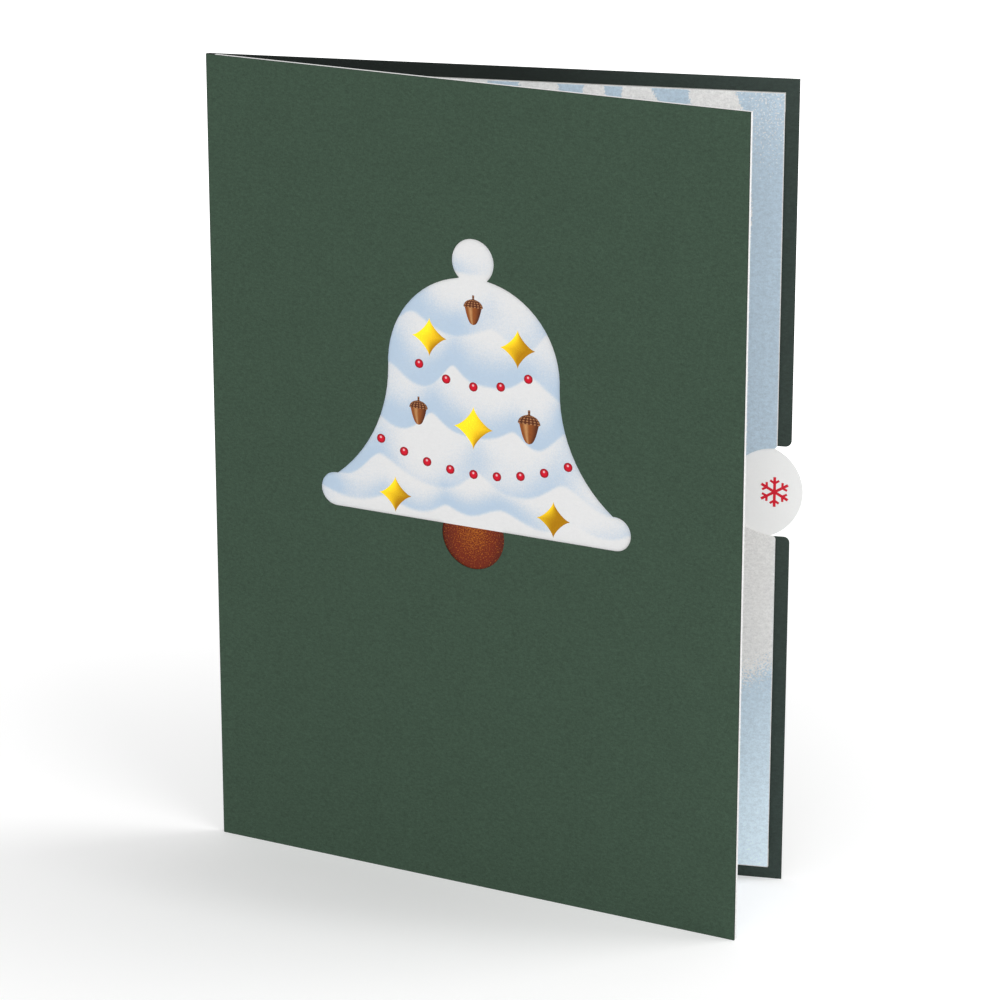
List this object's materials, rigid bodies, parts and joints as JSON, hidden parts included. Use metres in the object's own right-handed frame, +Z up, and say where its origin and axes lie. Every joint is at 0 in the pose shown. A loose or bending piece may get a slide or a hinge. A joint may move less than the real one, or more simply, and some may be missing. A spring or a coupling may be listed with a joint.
{
  "type": "pop up card",
  "caption": "Tall folded greeting card standing open, with a cut-out bell, a slotted paper tree between its halves and a pull-out note.",
  "frame": {"origin": "middle of the base of the standing card, on the surface it stands on", "axes": "+Z up along the crease; +X from the crease towards the open edges; +Y from the front half to the back half"},
  "size_m": [0.1286, 0.0354, 0.1778],
  "materials": {
    "cover_stock": "matt dark green card, fine grain",
    "front_liner_print": "white coated paper printed pale blue, soft sheen",
    "back_liner_print": "coated paper printed in pale blue and grey-white, soft sheen",
    "tape": "white double-sided tape",
    "note_paper": "white uncoated card",
    "tree_paper": "white uncoated paper"
  },
  "bodies": {
    "card": {"cover": "cover_stock", "front_liner": "front_liner_print", "back_liner": "back_liner_print", "pocket_tape": "tape", "back_slice_1": "tree_paper", "back_slice_2": "tree_paper", "back_slice_3": "tree_paper", "back_slice_4": "tree_paper", "back_slice_5": "tree_paper", "front_slice_1": "tree_paper", "front_slice_2": "tree_paper", "front_slice_3": "tree_paper", "front_slice_4": "tree_paper", "front_slice_5": "tree_paper"},
    "note": {"note_card": "note_paper"}
  },
  "joints": [
    {"name": "note_slide", "type": "slide", "parent": "card", "child": "note", "axis": [0.991, 0.134, 0], "range_m": [0, 0.095]}
  ]
}
